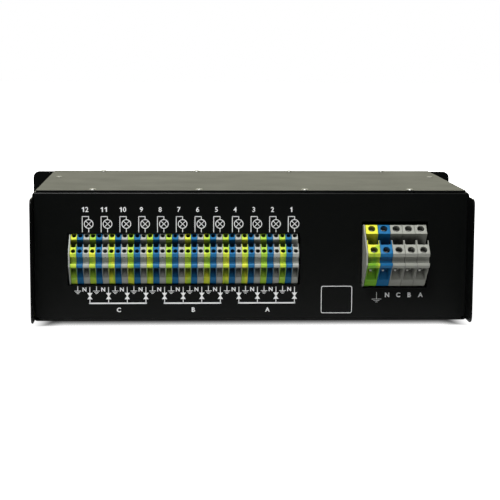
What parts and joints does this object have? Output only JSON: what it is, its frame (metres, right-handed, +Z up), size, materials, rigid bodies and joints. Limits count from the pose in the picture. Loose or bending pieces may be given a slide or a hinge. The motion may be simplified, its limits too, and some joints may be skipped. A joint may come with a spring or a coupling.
{
  "type": "dmx switch pack",
  "caption": "3U 19-inch rack switch pack with rail terminals at the back, breakers, a control module and data sockets at the front.",
  "frame": {"origin": "middle of the footprint, at the underside of the case", "axes": "+Z up, -Y out of the terminal side, +Y out of the control side with the rack ears, +X to the right when the terminal side is faced"},
  "size_m": [0.4826, 0.2766, 0.1326],
  "materials": {
    "black_powder_coat": "black satin powder coat with a fine texture",
    "zinc_steel": "bright zinc-plated sheet steel",
    "terminal_grey": "moulded grey polyamide; the twelve channel nodes are earth green-yellow, neutral blue and phase grey side by side",
    "terminal_blue": "moulded blue polyamide",
    "terminal_earth": "moulded polyamide, yellow over green",
    "breaker_white": "moulded light grey plastic",
    "toggle_black": "moulded black plastic",
    "control_plastic": "moulded black plastic with a fine grain",
    "display_glass": "clear plate over a dark display",
    "button_grey": "moulded grey plastic",
    "socket_nickel": "dark nickel plate",
    "fan_plastic": "glass-filled black plastic",
    "bare_aluminium": "plain extruded aluminium",
    "board_green": "green solder resist"
  },
  "bodies": {
    "case": {"chassis_tray": "black_powder_coat", "top_cover": "black_powder_coat", "terminal_panel": "black_powder_coat", "front_panel": "black_powder_coat", "channel_din_rail": "zinc_steel", "channel_rail_carrier": "zinc_steel", "mains_din_rail": "zinc_steel", "mains_rail_carrier": "zinc_steel", "breaker_din_rail": "zinc_steel", "breaker_rail_post_left": "zinc_steel", "breaker_rail_post_right": "zinc_steel", "power_supply": "zinc_steel", "channel_end_plate": "terminal_grey", "mains_end_plate": "terminal_grey", "channel_terminals_1": "terminal_grey", "channel_terminals_2": "terminal_grey", "channel_terminals_3": "terminal_grey", "channel_terminals_4": "terminal_grey", "channel_terminals_5": "terminal_grey", "channel_terminals_6": "terminal_grey", "channel_terminals_7": "terminal_grey", "channel_terminals_8": "terminal_grey", "channel_terminals_9": "terminal_grey", "channel_terminals_10": "terminal_grey", "channel_terminals_11": "terminal_grey", "channel_terminals_12": "terminal_grey", "mains_terminal_phase_c": "terminal_grey", "mains_terminal_phase_b": "terminal_grey", "mains_terminal_phase_a": "terminal_grey", "mains_terminal_neutral": "terminal_blue", "mains_terminal_earth": "terminal_earth", "breaker_bank_1": "breaker_white", "breaker_bank_2": "breaker_white", "breaker_bank_3": "breaker_white", "control_module": "control_plastic", "display_window": "display_glass", "dmx_in": "socket_nickel", "dmx_out": "socket_nickel", "fan_frame": "fan_plastic", "heat_sink": "bare_aluminium", "triac_board": "board_green", "control_board": "board_green"},
    "toggle_1": {"breaker_toggle_1": "toggle_black"},
    "toggle_2": {"breaker_toggle_2": "toggle_black"},
    "toggle_3": {"breaker_toggle_3": "toggle_black"},
    "toggle_4": {"breaker_toggle_4": "toggle_black"},
    "toggle_5": {"breaker_toggle_5": "toggle_black"},
    "toggle_6": {"breaker_toggle_6": "toggle_black"},
    "toggle_7": {"breaker_toggle_7": "toggle_black"},
    "toggle_8": {"breaker_toggle_8": "toggle_black"},
    "toggle_9": {"breaker_toggle_9": "toggle_black"},
    "toggle_10": {"breaker_toggle_10": "toggle_black"},
    "toggle_11": {"breaker_toggle_11": "toggle_black"},
    "toggle_12": {"breaker_toggle_12": "toggle_black"},
    "button_menu": {"button_menu": "button_grey"},
    "button_down": {"button_down": "button_grey"},
    "button_up": {"button_up": "button_grey"},
    "button_enter": {"button_enter": "button_grey"},
    "latch": {"dmx_out_latch": "socket_nickel"},
    "fan": {"fan_rotor": "fan_plastic"}
  },
  "joints": [
    {"name": "toggle_1_swing", "type": "hinge", "parent": "case", "child": "toggle_1", "pos_m": [0.0128, 0.12741, 0.066], "axis": [1, 0, 0], "range_deg": [0, 80]},
    {"name": "toggle_2_swing", "type": "hinge", "parent": "case", "child": "toggle_2", "pos_m": [-0.0048, 0.12741, 0.066], "axis": [1, 0, 0], "range_deg": [0, 80]},
    {"name": "toggle_3_swing", "type": "hinge", "parent": "case", "child": "toggle_3", "pos_m": [-0.0224, 0.12741, 0.066], "axis": [1, 0, 0], "range_deg": [0, 80]},
    {"name": "toggle_4_swing", "type": "hinge", "parent": "case", "child": "toggle_4", "pos_m": [-0.04, 0.12741, 0.066], "axis": [1, 0, 0], "range_deg": [0, 80]},
    {"name": "toggle_5_swing", "type": "hinge", "parent": "case", "child": "toggle_5", "pos_m": [-0.0576, 0.12741, 0.066], "axis": [1, 0, 0], "range_deg": [0, 80]},
    {"name": "toggle_6_swing", "type": "hinge", "parent": "case", "child": "toggle_6", "pos_m": [-0.0752, 0.12741, 0.066], "axis": [1, 0, 0], "range_deg": [0, 80]},
    {"name": "toggle_7_swing", "type": "hinge", "parent": "case", "child": "toggle_7", "pos_m": [-0.0928, 0.12741, 0.066], "axis": [1, 0, 0], "range_deg": [0, 80]},
    {"name": "toggle_8_swing", "type": "hinge", "parent": "case", "child": "toggle_8", "pos_m": [-0.1104, 0.12741, 0.066], "axis": [1, 0, 0], "range_deg": [0, 80]},
    {"name": "toggle_9_swing", "type": "hinge", "parent": "case", "child": "toggle_9", "pos_m": [-0.128, 0.12741, 0.066], "axis": [1, 0, 0], "range_deg": [0, 80]},
    {"name": "toggle_10_swing", "type": "hinge", "parent": "case", "child": "toggle_10", "pos_m": [-0.1456, 0.12741, 0.066], "axis": [1, 0, 0], "range_deg": [0, 80]},
    {"name": "toggle_11_swing", "type": "hinge", "parent": "case", "child": "toggle_11", "pos_m": [-0.1632, 0.12741, 0.066], "axis": [1, 0, 0], "range_deg": [0, 80]},
    {"name": "toggle_12_swing", "type": "hinge", "parent": "case", "child": "toggle_12", "pos_m": [-0.1808, 0.12741, 0.066], "axis": [1, 0, 0], "range_deg": [0, 80]},
    {"name": "button_menu_press", "type": "slide", "parent": "case", "child": "button_menu", "axis": [0, -1, 0], "range_m": [0, 0.0012], "stiffness_N_per_m": 1500},
    {"name": "button_down_press", "type": "slide", "parent": "case", "child": "button_down", "axis": [0, -1, 0], "range_m": [0, 0.0012], "stiffness_N_per_m": 1500},
    {"name": "button_up_press", "type": "slide", "parent": "case", "child": "button_up", "axis": [0, -1, 0], "range_m": [0, 0.0012], "stiffness_N_per_m": 1500},
    {"name": "button_enter_press", "type": "slide", "parent": "case", "child": "button_enter", "axis": [0, -1, 0], "range_m": [0, 0.0012], "stiffness_N_per_m": 1500},
    {"name": "latch_press", "type": "slide", "parent": "case", "child": "latch", "axis": [0, -1, 0], "range_m": [0, 0.0012], "stiffness_N_per_m": 1500},
    {"name": "fan_spin", "type": "hinge", "parent": "case", "child": "fan", "pos_m": [0.2057, 0.00581, 0.066], "axis": [1, 0, 0], "continuous": true}
  ]
}
